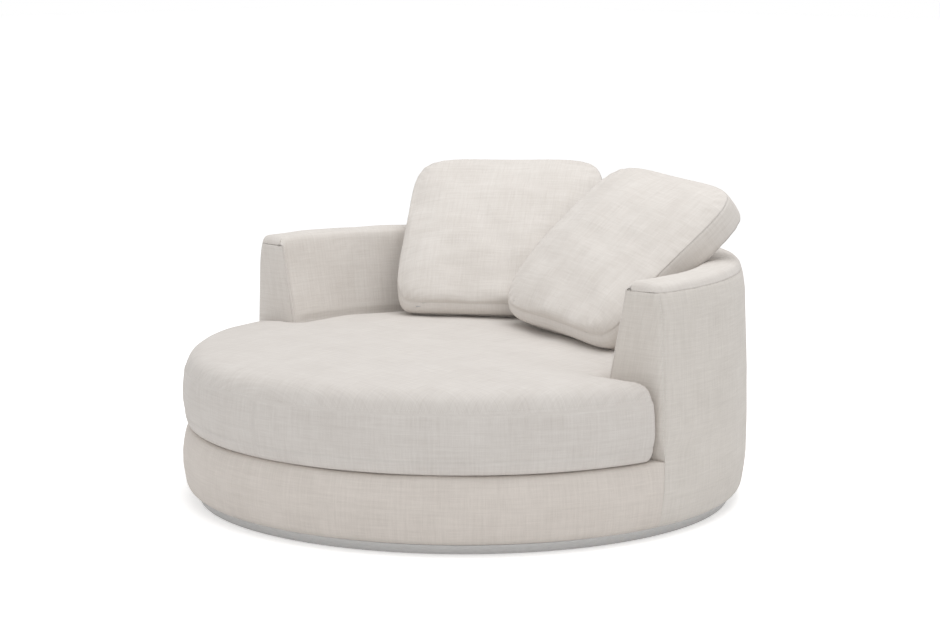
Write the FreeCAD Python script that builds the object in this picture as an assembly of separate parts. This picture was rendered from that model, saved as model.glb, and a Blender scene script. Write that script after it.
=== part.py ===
"""Round swivel cuddle chair: an upholstered barrel on a steel-banded plinth, with a loose seat
cushion and two loose scatter cushions.

Millimetres, +Z up, the sitter faces -Y. The origin is on the floor, on the swivel axis.
"""
import FreeCAD, Part
import math
import os

# Barrel, measured from the swivel axis. Every radius follows the belly's
BARREL_R = 726.0
BELLY_Z = 108.0
FOOT_TUCK = 42.0
FOOT_BEND_TUCK = 13.0
FOOT_Z = 24.0
FOOT_BEND_Z = 30.0
FOOT_ROUND = 18.0
WALL_LEAN = 14.0
WALL_SHOULDER_Z = 575.0
STRAIGHT_WALL_Z = 330.0
TOP_Z = 614.0
TOP_CROWN = 4.0
TOP_TUCK = 7.0
TOP_WIDTH = 97.0
TOP_OUTER_ROUND = 26.0
TOP_INNER_ROUND = 16.0
INNER_WALL_LEAN = 85.0
SEAM_Z = 597.0

# Arm fronts
FACING_Y = 70.0
FACING_TUCK = 16.0
FACING_SLOPE = 0.05
FACING_ROUND = 28.0
FACING_SEAM_DEPTH = 3.0
FACING_FOAM = 12.0
END_BOARD_T = 15.0

# Base front
BASE_TOP_Z = 191.0
BASE_SHOULDER_TUCK = 18.5
BASE_SHOULDER_ROUND = 10.0
BORDER_WIDTH = 67.5

# Cloth and foam
COVER_T = 1.5
INNER_FOAM = 30.0
SOFT_GAP = 0.3
ROUND_STEPS = 2

# Timber frame
PLY_T = 18.0
BENT_PLY_T = 5.0
FRONT_RAIL_T = 8.0
RECESS_DEPTH = 8.0
RECESS_MARGIN = 5.0
RIB_COUNT = 8
RIB_FIRST_DEG = 12.0
RIB_T = 18.0
FRONT_BAYS = 7
SEAT_RING_WIDTH = 80.0
JOIST_X = 230.0
JOIST_FRONT_Y = -330.0
JOIST_BACK_Y = 190.0

# Seat platform
WEB_T = 1.5
WEB_WIDTH = 60.0
WEB_PITCH = 135.0
WEB_COUNT = 7
DECK_T = 12.0

# Plinth
GLIDE_T = 4.0
GLIDE_SIDE = 44.0
GLIDE_INSET = 61.0
GLIDE_COUNT = 8
PLINTH_BOARD_T = 17.0
PLINTH_TUCK = 3.0
BAND_T = 1.5
BAND_LOW_Z = 1.5
BAND_HIGH_Z = 22.0

# Swivel bearing
SWIVEL_PLATE_SIDE = 380.0
SWIVEL_PLATE_T = 3.0
ROLLER_R = 4.45
ROLLER_LENGTH = 26.0
ROLLER_PITCH_R = 160.0
ROLLER_COUNT = 8
BEARING_PLAY = 0.05
CAGE_T = 4.0
CAGE_LIP = 9.0
CAGE_PLAY = 0.2
CAGE_SIDES = 16
PIN_R = 12.0
COLLAR_T = 5.0
COLLAR_STAND = 3.0
WASHER_SIDE = 50.0
WASHER_T = 2.5
NUT_ACROSS = 34.0
NUT_T = 11.0
PIN_STUB = 3.0
SCREW_ACROSS = 8.0
SCREW_SIDES = 8
SCREW_DEPTH = 12.0
SCREW_EDGE = 20.0

# Seat cushion: it fills the room between the arms and spreads ahead of them
CUSHION_TUCK = 5.5
CUSHION_LOWER_SEAM_H = 35.0
CUSHION_BELLY_LOW_H = 65.0
CUSHION_BELLY_HIGH_H = 95.0
CUSHION_UPPER_SEAM_H = 142.0
CUSHION_SHOULDER_H = 169.0
CUSHION_EDGE_H = 188.0
CUSHION_H = 214.0
CUSHION_FOOT_IN = 20.0
CUSHION_LOWER_SEAM_IN = 4.0
CUSHION_UPPER_SEAM_IN = 5.5
CUSHION_SHOULDER_IN = 15.0
CUSHION_EDGE_IN = 35.0
CUSHION_CORNER_R = 52.0
CUSHION_CROWN_DROP = 13.0
CUSHION_CROWN_WIDTH = 310.0
CUSHION_RIM_WIDTH = 130.5
CUSHION_REAR_EDGE = 50.0
CUSHION_BEVEL_WIDTH = 60.0
CUSHION_BEVEL_RISE = 20.0
CUSHION_BEVEL_OVERLAP = 5.0
CUSHION_WALL_GAP = 1.2
CUSHION_SIDE_GAP = 0.6
CUSHION_CLOTH_T = 3.0
CUSHION_CORE_BORDER = 30.0
CUSHION_CORE_DROP = 32.0

# Scatter cushions
SCATTER_WIDTH = 550.0
SCATTER_HEIGHT = 525.0
SCATTER_EDGE_T = 66.0
SCATTER_CROWN_T = 140.0
SCATTER_CORNER_R = 44.0
SCATTER_DRAW_IN = 11.0
SCATTER_CLOTH_T = 2.5
CORNER_CHORDS = 3
SIDE_CHORDS = 4
# Share of the rise above the gusset, and how far the outline has drawn in there
SCATTER_CROWN = [(0.0, 0.0), (0.5, 30.0), (0.85, 90.0), (1.0, 190.0)]
LEFT_FROM_RIM = 130.8
LEFT_BEARING_DEG = 120.53
LEFT_RISE = 200.5
LEFT_YAW_DEG = 30.6
LEFT_LEAN_DEG = 48.6
LEFT_ROLL_DEG = -1.8
RIGHT_FROM_RIM = 206.2
RIGHT_BEARING_DEG = 51.16
RIGHT_RISE = 211.4
RIGHT_YAW_DEG = -11.8
RIGHT_LEAN_DEG = 49.1
RIGHT_ROLL_DEG = 8.0

# Zips
ZIP_TAPE_T = 0.8
ZIP_TAPE_W = 22.0
ZIP_SEAT_H = 70.0
ZIP_ROOM = 16.0
ZIP_SEAT_HALF_DEG = 55.0
SLIDER_START_DEG = 1.5
ZIP_END = 4.0
ZIP_SCATTER_LENGTH = 380.0
SLIDER_L = 12.0
SLIDER_W = 8.0
SLIDER_T = 3.2
PULL_L = 24.0
PULL_W = 6.0
PULL_T = 1.2

# Radii that follow the barrel's
FOOT_R = BARREL_R - FOOT_TUCK
FOOT_BEND_R = BARREL_R - FOOT_BEND_TUCK
WALL_TOP_R = BARREL_R - WALL_LEAN
TOP_OUTER_R = WALL_TOP_R - TOP_TUCK
TOP_INNER_R = TOP_OUTER_R - TOP_WIDTH
INNER_WALL_FOOT_R = TOP_INNER_R - INNER_WALL_LEAN
BASE_SHOULDER_R = BARREL_R - BASE_SHOULDER_TUCK
BORDER_R = BASE_SHOULDER_R - BORDER_WIDTH
PLINTH_R = FOOT_R - PLINTH_TUCK
CUSHION_FRONT_R = BARREL_R - CUSHION_TUCK

O = FreeCAD.Vector(0, 0, 0)
UP = FreeCAD.Vector(0, 0, 1)


def v(x, y, z=0.0):
    return FreeCAD.Vector(x, y, z)


def save(name, shape):
    """Writes one sub-part, as a lone solid or as a group of solids."""
    solids = [s for s in shape.Solids if s.Volume > 1.0]
    out = solids[0] if len(solids) == 1 else Part.makeCompound(solids)
    out.exportStep("parts/" + name + ".step")


def solid_of(shape):
    solids = sorted(shape.Solids, key=lambda s: -s.Volume)
    return solids[0]


def moved(shape, x, y, z):
    out = shape.copy()
    out.translate(v(x, y, z))
    return out


def turned(shape, degrees):
    out = shape.copy()
    out.rotate(O, UP, degrees)
    return out


def fuse_all(shapes):
    first = shapes[0]
    return first.fuse(shapes[1:]) if len(shapes) > 1 else first


def prism(sides, across, z, height, first_deg=0.0):
    """A polygon prism on the axis, measured across its flats, with a flat's middle at an angle."""
    corner = across / 2 / math.cos(math.pi / sides)
    spoke = FreeCAD.Vector(corner, 0, z)
    angles = [first_deg + (i + 0.5) * 360.0 / sides for i in range(sides + 1)]
    points = [FreeCAD.Rotation(UP, a).multVec(spoke) for a in angles]
    return Part.Face(Part.makePolygon(points)).extrude(v(0, 0, height))


def disc(radius, z, height):
    return Part.makeCylinder(radius, height, v(0, 0, z))


def ring(outer, inner, z, height):
    return disc(outer, z, height).cut(disc(inner, z - 1, height + 2))


def around(count, shape, first=0.0):
    return [turned(shape, first + i * 360.0 / count) for i in range(count)]


# Profiles in the plane of radius and height

def rounded(corners, steps):
    """The corners as plain points, each rounding as chords of its arc: few for what is hidden."""
    points = [v(corners[0][0], 0, corners[0][1])]
    for a, b, c in zip(corners, corners[1:], corners[2:]):
        corner = v(b[0], 0, b[1])
        if b[2] == 0:
            points.append(corner)
            continue
        back = (v(a[0], 0, a[1]) - corner).normalize()
        ahead = (v(c[0], 0, c[1]) - corner).normalize()
        half = math.acos(back.dot(ahead)) / 2
        reach = b[2] / math.tan(half)
        centre = corner + (back + ahead).normalize() * (b[2] / math.sin(half))
        first = corner + back * reach
        turn = math.degrees(math.pi - 2 * half) / steps
        for i in range(steps + 1):
            spoke = FreeCAD.Rotation(v(0, 1), -turn * i).multVec(first - centre)
            points.append(centre + spoke)
    points.append(v(corners[-1][0], 0, corners[-1][1]))
    return points


def closed_face(corners, steps, inner_points):
    """The face between an outline and the straight lines that close it."""
    points = rounded(corners, steps) + [v(r, 0, z) for r, z in inner_points]
    return Part.Face(Part.makePolygon(points + [points[0]]))


def polygon_face(points):
    corners = [v(r, 0, z) for r, z in points]
    return Part.Face(Part.makePolygon(corners + [corners[0]]))


def swept(face, first_deg, angle_deg):
    """A face in the radius and height plane turned about the swivel axis."""
    return turned(face.revolve(O, UP, angle_deg), first_deg)


def wall_r(z):
    """Radius of the inner wall's cloth at a height."""
    return INNER_WALL_FOOT_R + WALL_SLOPE * (z - BASE_TOP_Z)


SHELL = [
    (FOOT_R, FOOT_Z, 0),
    (FOOT_BEND_R, FOOT_BEND_Z, FOOT_ROUND),
    (BARREL_R, BELLY_Z, 0),
    (BARREL_R, STRAIGHT_WALL_Z, 0),
    (WALL_TOP_R, WALL_SHOULDER_Z, 0),
    (TOP_OUTER_R, TOP_Z, TOP_OUTER_ROUND),
    ((TOP_OUTER_R + TOP_INNER_R) / 2, TOP_Z + TOP_CROWN, 0),
    (TOP_INNER_R, TOP_Z, TOP_INNER_ROUND),
    (INNER_WALL_FOOT_R, BASE_TOP_Z, 0),
]
FRAME_R = FOOT_R
BASE_FRONT = [
    (FOOT_R, FOOT_Z, 0),
    (FOOT_BEND_R, FOOT_BEND_Z, FOOT_ROUND),
    (BARREL_R, BELLY_Z, 0),
    (BASE_SHOULDER_R, BASE_TOP_Z, BASE_SHOULDER_ROUND),
    (BORDER_R, BASE_TOP_Z, 0),
]

# Heights that several pieces share
PLINTH_TOP = GLIDE_T + PLINTH_BOARD_T
ROLLER_Z = PLINTH_TOP + SWIVEL_PLATE_T + BEARING_PLAY + ROLLER_R
UPPER_PLATE_Z = ROLLER_Z + ROLLER_R + BEARING_PLAY
RECESS_TOP = UPPER_PLATE_Z + SWIVEL_PLATE_T
BOARD_Z = RECESS_TOP - RECESS_DEPTH
BOARD_TOP = RECESS_TOP + PLY_T
SEAT_RING_TOP = BASE_TOP_Z - DECK_T - 2 * WEB_T
RAIL_TOP = WALL_SHOULDER_Z

WALL_SLOPE = INNER_WALL_LEAN / (TOP_Z - BASE_TOP_Z)
FACING_TILT = math.atan(FACING_SLOPE)
FACING_X = BARREL_R - FACING_TUCK
FACING_DISTANCE = (FACING_Y + FACING_SLOPE * FACING_X) * math.cos(FACING_TILT)
FAR_TOP = TOP_Z + 40.0

# The arm fronts' plane, and solids in front of and behind it

def facing_slab(near, far):
    """The space between two depths behind the right arm's front plane."""
    slab = Part.makeBox(2 * FAR, far - near, 2 * FAR, v(-FAR, near - FACING_DISTANCE, -FAR))
    return turned(slab, math.degrees(FACING_TILT))


def mirrored(shape):
    return shape.mirror(O, v(1, 0, 0))


FAR = 2000.0
RIGHT_HALF = Part.makeBox(FAR, 2 * FAR, FAR, v(0, -FAR, -10))


def behind_facings(depth):
    """Everything behind both arm fronts by at least a depth."""
    right = facing_slab(depth, FAR).common(RIGHT_HALF)
    return right.fuse(mirrored(right))


def ahead_of_facings(depth):
    """Everything in front of both arm fronts, up to a depth behind them."""
    right = facing_slab(-FAR, depth).common(RIGHT_HALF)
    return right.fuse(mirrored(right))


SWEEP_FIRST = -30.0
SWEEP_ANGLE = 240.0
ROUND_BITE = 0.3


def edge_rounder(corners, depth, rounding):
    """What is taken off the right arm's upright outer edge to round it, all the way up."""
    line_y = depth - FACING_DISTANCE
    wires = []
    for r, z, _ in [(corners[3][0], BASE_TOP_Z, 0)] + corners[3:5] + [(corners[5][0], FAR_TOP, 0)]:
        y = line_y + rounding - ROUND_BITE
        reach = r - rounding + ROUND_BITE
        x = math.sqrt(reach * reach - y * y)
        centre = v(x, y, z)
        out = v(x, y).normalize()
        between = (out + v(0, -1)).normalize()
        front = centre + v(0, -rounding)
        side = centre + out * rounding
        outside = [side + out * rounding, centre + between * 3 * rounding, front + v(0, -rounding)]
        points = [side] + outside + [front]
        edges = [Part.Arc(front, centre + between * rounding, side).toShape()]
        edges += [Part.LineSegment(p, q).toShape() for p, q in zip(points, points[1:])]
        wires.append(Part.Wire(edges))
    return turned(Part.makeLoft(wires, True, True), math.degrees(FACING_TILT))


def inset_across(d):
    """How far the inner wall's line moves level when it is drawn in square to itself."""
    return d * math.hypot(1, WALL_SLOPE)


def shell_body():
    """The arms and back as one mass, with rounded outer front edges above the base."""
    foot = [(INNER_WALL_FOOT_R, SHELL[0][1])]
    body = swept(closed_face(SHELL, ROUND_STEPS, foot), SWEEP_FIRST, SWEEP_ANGLE)
    body = body.common(behind_facings(0))
    rounder = edge_rounder(SHELL, 0, FACING_ROUND)
    return solid_of(body.cut([rounder, mirrored(rounder)]))


# The timber is built of flat bays from rib to rib, which the padding rounds off

RIB_PITCH_DEG = (180.0 - 2 * RIB_FIRST_DEG) / (RIB_COUNT - 1)
BACK_ANGLES = [RIB_FIRST_DEG + i * RIB_PITCH_DEG for i in range(-1, RIB_COUNT + 1)]
FRONT_PITCH_DEG = (360.0 - (BACK_ANGLES[-1] - BACK_ANGLES[0])) / FRONT_BAYS
FRONT_ANGLES = [BACK_ANGLES[-1] + i * FRONT_PITCH_DEG for i in range(1, FRONT_BAYS)]


def bay_corners(radius, angles, z):
    return [FreeCAD.Rotation(UP, a).multVec(v(radius, 0, z)) for a in angles]


def flat_face(points):
    return Part.Face(Part.makePolygon(points + points[:1]))


def stacked(levels):
    """A solid through level outlines that differ only in scale."""
    nexts = list(range(1, len(levels[0]))) + [0]
    faces = [flat_face(levels[0]), flat_face(levels[-1])]
    for low, high in zip(levels, levels[1:]):
        faces += [flat_face([low[i], low[k], high[k], high[i]]) for i, k in enumerate(nexts)]
    return Part.Solid(Part.Shell(faces))


def between_arms(offset, z0, z1):
    """The space between the arms, bounded an offset outside the inner wall's cloth."""
    radii = [wall_r(z) + inset_across(offset) for z in (z0, z1)]
    return stacked([bay_corners(r, BACK_ANGLES, z) for r, z in zip(radii, (z0, z1))])


def frame_block(inset, z0, z1):
    """The timber frame's whole plan, drawn in by an inset."""
    radius = FRAME_R - inset / math.cos(math.radians(RIB_PITCH_DEG / 2))
    return stacked([bay_corners(radius, BACK_ANGLES + FRONT_ANGLES, z) for z in (z0, z1)])


def arm_section(z0, z1):
    """The timber's room inside the arms and back, from the inner bays to the outer ones."""
    return frame_block(0, z0, z1).cut(between_arms(INNER_FOAM, z0, z1))


def above(z):
    return disc(FAR, z, FAR)


def save_pair(name, shape):
    """Writes the right and left ones of a mirrored pair."""
    right = solid_of(shape.common(RIGHT_HALF))
    save("right_" + name, right)
    save("left_" + name, mirrored(right))


# Fixed upholstery: each panel is its cloth with the padding glued under it

def make_back_pads():
    body = shell_body()
    front_depth = FACING_FOAM + COVER_T
    skin = body.common(ahead_of_facings(FACING_SEAM_DEPTH)).common(above(BASE_TOP_Z))
    block = arm_section(BASE_TOP_Z, RAIL_TOP).common(ahead_of_facings(front_depth))
    fronts = skin.fuse(block.common(behind_facings(0)))
    save_pair("arm_front_pad", fronts.removeSplitter())

    rest = body.cut(fronts)
    outside = rest.cut([frame_block(0, 0, FAR), above(SEAM_Z)])
    outside = max(outside.Solids, key=lambda solid: solid.BoundBox.DiagonalLength)
    save("outside_back_pad", outside)
    inside = rest.common(between_arms(INNER_FOAM, SEAT_RING_TOP, SEAM_Z))
    deck_room = ahead_of_facings(front_depth + SOFT_GAP).cut(above(BASE_TOP_Z))
    inside = inside.cut(deck_room)
    save("inside_back_pad", solid_of(inside))
    band = rest.common(above(RAIL_TOP)).cut([outside, inside])
    save("top_band_pad", solid_of(band))


def make_base_front_pad():
    face = closed_face(BASE_FRONT, ROUND_STEPS, [(BORDER_R, FOOT_Z)])
    whole = face.revolve(O, UP, 360).common(ahead_of_facings(0))
    save("base_front_pad", solid_of(whole.cut(frame_block(0, 0, SEAT_RING_TOP))))


# Timber frame

def make_base_board():
    side = SWIVEL_PLATE_SIDE + 2 * RECESS_MARGIN
    recess = prism(4, side, BOARD_Z - 1, RECESS_DEPTH + 1)
    hole = disc(PIN_R + COLLAR_T, BOARD_Z, FAR)
    board = frame_block(0, BOARD_Z, BOARD_TOP).cut([recess, hole])
    save("base_board", board.cut(plate_screws(UPPER_PLATE_Z, FAR)))


def make_back_frame():
    end_depth = COVER_T + FACING_FOAM
    behind = behind_facings(end_depth + END_BOARD_T)
    outer = frame_block(0, BOARD_TOP, RAIL_TOP)
    core = frame_block(BENT_PLY_T, BOARD_TOP, RAIL_TOP)
    save("back_outer_panel", outer.cut(core).common(behind))
    far_side = INNER_FOAM + BENT_PLY_T
    near = between_arms(INNER_FOAM, BOARD_TOP, RAIL_TOP)
    far = between_arms(far_side, BOARD_TOP, RAIL_TOP)
    save("back_inner_panel", far.cut(near).common(behind))
    hollow = core.common(behind).cut(far)
    rib_z = BOARD_TOP + PLY_T
    rib_top = RAIL_TOP - PLY_T
    save("bottom_rail", hollow.cut(above(rib_z)))
    save("top_rail", hollow.common(above(rib_top)))
    rib = Part.makeBox(FAR, RIB_T, rib_top - rib_z, v(0, -RIB_T / 2, rib_z))
    angles = [RIB_FIRST_DEG + i * RIB_PITCH_DEG for i in range(RIB_COUNT)]
    save("back_ribs", Part.makeCompound([turned(rib, a).common(hollow) for a in angles]))
    ends = facing_slab(end_depth, end_depth + END_BOARD_T)
    save_pair("arm_end_board", arm_section(BOARD_TOP, RAIL_TOP).common(ends))
    rail = frame_block(0, BOARD_TOP, SEAT_RING_TOP)
    rail = rail.cut(frame_block(FRONT_RAIL_T, BOARD_TOP, SEAT_RING_TOP))
    save("front_rail", rail.common(ahead_of_facings(end_depth)))


def seat_plan(front, back):
    """A slab under the seat: wide ahead of the arms and fitted to what lies between them."""
    return front.common(ahead_of_facings(COVER_T + FACING_FOAM)).fuse(back).removeSplitter()


def make_seat_frame():
    ring_z = SEAT_RING_TOP - PLY_T
    front = frame_block(FRONT_RAIL_T, ring_z, SEAT_RING_TOP)
    slab = seat_plan(front, between_arms(INNER_FOAM, ring_z, SEAT_RING_TOP))
    hole_front = frame_block(FRONT_RAIL_T + SEAT_RING_WIDTH, ring_z, SEAT_RING_TOP)
    hole_front = hole_front.common(ahead_of_facings(-SEAT_RING_WIDTH))
    hole_back = between_arms(INNER_FOAM - SEAT_RING_WIDTH, ring_z, SEAT_RING_TOP)
    save("seat_ring", slab.cut(hole_front.fuse(hole_back)))

    height = ring_z - BOARD_TOP
    front = frame_block(FRONT_RAIL_T, BOARD_TOP, ring_z)
    room = seat_plan(front, between_arms(INNER_FOAM, BOARD_TOP, ring_z))
    long_board = Part.makeBox(PLY_T, 2 * FAR, height, v(-PLY_T / 2, -FAR, BOARD_TOP))
    cross_board = Part.makeBox(2 * FAR, PLY_T, height, v(-FAR, -PLY_T / 2, BOARD_TOP))
    longs = fuse_all([moved(long_board, x, 0, 0) for x in (-JOIST_X, JOIST_X)])
    crosses = fuse_all([moved(cross_board, 0, y, 0) for y in (JOIST_FRONT_Y, JOIST_BACK_Y)])
    meeting = longs.common(crosses)
    lower_half = disc(FAR, BOARD_TOP, height / 2)
    save("seat_joists_long", longs.cut(meeting.common(lower_half)).common(room))
    save("seat_joists_cross", crosses.cut(meeting.cut(lower_half)).common(room))


def make_seat_platform():
    web_z = SEAT_RING_TOP
    foot_r = wall_r(web_z) - SOFT_GAP
    edge_r = BORDER_R - SOFT_GAP
    plan = seat_plan(disc(edge_r, web_z, 2 * WEB_T), disc(foot_r, web_z, 2 * WEB_T))
    half = WEB_COUNT // 2
    places = [i * WEB_PITCH for i in range(-half, half + 1)]
    strap = Part.makeBox(WEB_WIDTH, 2 * FAR, WEB_T, v(-WEB_WIDTH / 2, -FAR, web_z))
    save("webbing_long", fuse_all([moved(strap, x, 0, 0) for x in places]).common(plan))
    strap = Part.makeBox(2 * FAR, WEB_WIDTH, WEB_T, v(-FAR, -WEB_WIDTH / 2, web_z + WEB_T))
    save("webbing_cross", fuse_all([moved(strap, 0, y, 0) for y in places]).common(plan))
    deck_z = BASE_TOP_Z - DECK_T
    save("seat_deck", seat_plan(disc(edge_r, deck_z, DECK_T), disc(foot_r, deck_z, DECK_T)))


# Plinth and swivel

def plate_screws(z, height):
    """Four screw shanks near the corners of the swivel plates, with plain flats for sides."""
    place = SWIVEL_PLATE_SIDE / 2 - SCREW_EDGE
    screw = moved(prism(SCREW_SIDES, SCREW_ACROSS, z, height), place, place, 0)
    return Part.makeCompound(around(4, screw))


def make_plinth():
    glide = prism(4, GLIDE_SIDE, 0, GLIDE_T)
    glides = around(GLIDE_COUNT, moved(glide, PLINTH_R - GLIDE_INSET, 0, 0)) + [glide]
    save("floor_glides", Part.makeCompound(glides))
    board = disc(PLINTH_R, GLIDE_T, PLINTH_BOARD_T)
    save("plinth_board", board.cut(plate_screws(PLINTH_TOP - SCREW_DEPTH, FAR)))
    save("plinth_band", ring(PLINTH_R + BAND_T, PLINTH_R, BAND_LOW_Z, BAND_HIGH_Z - BAND_LOW_Z))


def make_swivel():
    collar_top = BOARD_TOP + COLLAR_STAND
    washer_z = collar_top + BEARING_PLAY
    nut_z = washer_z + WASHER_T
    lower = prism(4, SWIVEL_PLATE_SIDE, PLINTH_TOP, SWIVEL_PLATE_T)
    stud = disc(PIN_R, PLINTH_TOP, nut_z + NUT_T + PIN_STUB - PLINTH_TOP)
    lower = lower.cut(plate_screws(0, FAR)).fuse(stud).removeSplitter()
    save("lower_swivel_plate", lower)
    screw_length = SCREW_DEPTH + SWIVEL_PLATE_T
    save("lower_plate_screws", plate_screws(PLINTH_TOP - SCREW_DEPTH, screw_length))

    upper = prism(4, SWIVEL_PLATE_SIDE, UPPER_PLATE_Z, SWIVEL_PLATE_T)
    collar = disc(PIN_R + COLLAR_T, UPPER_PLATE_Z, collar_top - UPPER_PLATE_Z)
    bore = disc(PIN_R + BEARING_PLAY, 0, FAR)
    upper = upper.cut(plate_screws(0, FAR)).fuse(collar).removeSplitter().cut(bore)
    save("upper_swivel_plate", upper)
    save("upper_plate_screws", plate_screws(UPPER_PLATE_Z, BOARD_TOP - UPPER_PLATE_Z))

    pin_hole = disc(PIN_R, 0, FAR)
    save("pivot_washer", prism(4, WASHER_SIDE, washer_z, WASHER_T).cut(pin_hole))
    save("pivot_nut", prism(6, NUT_ACROSS, nut_z, NUT_T).cut(pin_hole))

    roller = Part.makeCylinder(ROLLER_R, ROLLER_LENGTH, v(-ROLLER_LENGTH / 2, 0, 0), v(1, 0, 0))
    roller = moved(roller, ROLLER_PITCH_R, 0, ROLLER_Z)
    save("swivel_rollers", Part.makeCompound(around(ROLLER_COUNT, roller)))
    reach = ROLLER_LENGTH / 2 + CAGE_PLAY
    cage_z = ROLLER_Z - CAGE_T / 2
    outer = prism(CAGE_SIDES, 2 * (ROLLER_PITCH_R + reach + CAGE_LIP), cage_z, CAGE_T)
    inner = prism(CAGE_SIDES, 2 * (ROLLER_PITCH_R - reach - CAGE_LIP), cage_z, CAGE_T)
    pocket = Part.makeBox(2 * reach, 2 * (ROLLER_R + CAGE_PLAY), CAGE_T)
    pocket.translate(v(ROLLER_PITCH_R - reach, -ROLLER_R - CAGE_PLAY, cage_z))
    save("roller_cage", outer.cut([inner] + around(ROLLER_COUNT, pocket)))


# Seat cushion

CUSHION_Z = BASE_TOP_Z + SOFT_GAP
ZIP_R = wall_r(CUSHION_Z + CUSHION_LOWER_SEAM_H) - CUSHION_WALL_GAP - ZIP_ROOM
CUSHION_TOP_Z = CUSHION_Z + CUSHION_H
CROWN_RIM_R = CUSHION_FRONT_R - CUSHION_RIM_WIDTH
CROWN_FLAT_R = CROWN_RIM_R - CUSHION_CROWN_WIDTH


def crown_z(radius):
    """Height of the cushion's crown at a distance from the axis."""
    return CUSHION_TOP_Z - CUSHION_CROWN_DROP * (radius - CROWN_FLAT_R) / CUSHION_CROWN_WIDTH


def over(z):
    """Heights of the cushion's outline above the floor from heights above its own foot."""
    return CUSHION_Z + z


def cushion_wall(height):
    return wall_r(over(height)) - CUSHION_WALL_GAP


def turned_solid(outline):
    """A full turn of an outline given as radius and height from the axis back to the axis."""
    return polygon_face(outline).revolve(O, UP, 360)


def cushion_front():
    """The wide lobe ahead of the arms: boxed border, rounded shoulder and crown."""
    r = CUSHION_FRONT_R
    return turned_solid([
        (0, over(0)),
        (r - CUSHION_FOOT_IN, over(0)),
        (r - CUSHION_LOWER_SEAM_IN, over(CUSHION_LOWER_SEAM_H)),
        (r, over(CUSHION_BELLY_LOW_H)),
        (r, over(CUSHION_BELLY_HIGH_H)),
        (r - CUSHION_UPPER_SEAM_IN, over(CUSHION_UPPER_SEAM_H)),
        (r - CUSHION_SHOULDER_IN, over(CUSHION_SHOULDER_H)),
        (r - CUSHION_EDGE_IN, over(CUSHION_EDGE_H)),
        (CROWN_RIM_R, crown_z(CROWN_RIM_R)),
        (CROWN_FLAT_R, CUSHION_TOP_Z),
        (0, CUSHION_TOP_Z),
    ])


def cushion_rear():
    """The lobe between the arms, which follows the sloping wall and leaves room for the zip."""
    edge_r = cushion_wall(CUSHION_SHOULDER_H) - CUSHION_REAR_EDGE
    return turned_solid([
        (0, over(0)),
        (cushion_wall(0), over(0)),
        (ZIP_R, over(CUSHION_LOWER_SEAM_H)),
        (ZIP_R, over(ZIP_SEAT_H + ZIP_TAPE_W)),
        (cushion_wall(CUSHION_UPPER_SEAM_H), over(CUSHION_UPPER_SEAM_H)),
        (cushion_wall(CUSHION_SHOULDER_H), over(CUSHION_SHOULDER_H)),
        (edge_r, crown_z(edge_r)),
        (CROWN_FLAT_R, CUSHION_TOP_Z),
        (0, CUSHION_TOP_Z),
    ])


def side_bevel():
    """What slopes the front lobe's top down to the right arm front."""
    line_y = -FACING_DISTANCE
    top = CUSHION_TOP_Z + CUSHION_BEVEL_RISE
    low = over(CUSHION_UPPER_SEAM_H - CUSHION_LOWER_SEAM_IN)
    near = v(0, line_y + CUSHION_BEVEL_OVERLAP, low)
    slope = [near, v(0, line_y - CUSHION_BEVEL_WIDTH, top), v(0, FAR, top), v(0, FAR, low)]
    wedge = Part.Face(Part.makePolygon(slope + [slope[0]])).extrude(v(FAR, 0, 0))
    beyond = ring(FAR, cushion_wall(CUSHION_UPPER_SEAM_H), 0, FAR)
    return turned(wedge, math.degrees(FACING_TILT)).common(beyond)


def corner_rounder(front_r, side_y, rounding):
    """What is taken off the right corner of the front lobe, all the way up."""
    y = side_y - rounding + ROUND_BITE
    reach = front_r - rounding + ROUND_BITE
    centre = v(math.sqrt(reach * reach - y * y), y)
    out = v(centre.x, centre.y).normalize()
    between = (out + v(0, 1)).normalize()
    side = centre + out * rounding
    back = centre + v(0, rounding)
    outside = [side + out * rounding, centre + between * 3 * rounding, back + v(0, rounding)]
    points = [side] + outside + [back]
    edges = [Part.Arc(back, centre + between * rounding, side).toShape()]
    edges += [Part.LineSegment(p, q).toShape() for p, q in zip(points, points[1:])]
    cutter = Part.Face(Part.Wire(edges)).extrude(v(0, 0, FAR))
    return turned(cutter, math.degrees(FACING_TILT))


def cushion_form():
    gap = CUSHION_SIDE_GAP
    front = cushion_front().common(ahead_of_facings(-gap))
    bevel = side_bevel()
    corner = corner_rounder(CUSHION_FRONT_R, -FACING_DISTANCE - gap, CUSHION_CORNER_R)
    front = front.cut([bevel, mirrored(bevel), corner, mirrored(corner)])
    return front.fuse(cushion_rear()).removeSplitter()


def seat_core(play):
    """The cut foam block inside the cover: straight borders and a flat top."""
    t = CUSHION_CLOTH_T + play
    height = CUSHION_H - CUSHION_CORE_DROP - 2 * t
    front_r = CUSHION_FRONT_R - CUSHION_CORE_BORDER - play
    front = disc(front_r, over(t), height).common(ahead_of_facings(-CUSHION_CORE_BORDER - play))
    return front.fuse(disc(ZIP_R - CUSHION_CORE_BORDER - play, over(t), height)).removeSplitter()


def swept_wedge(first_deg, angle_deg):
    """The space between two upright half planes through the axis."""
    face = polygon_face([(0, 0), (FAR, 0), (FAR, FAR), (0, FAR)])
    return swept(face, first_deg, angle_deg)


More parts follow.
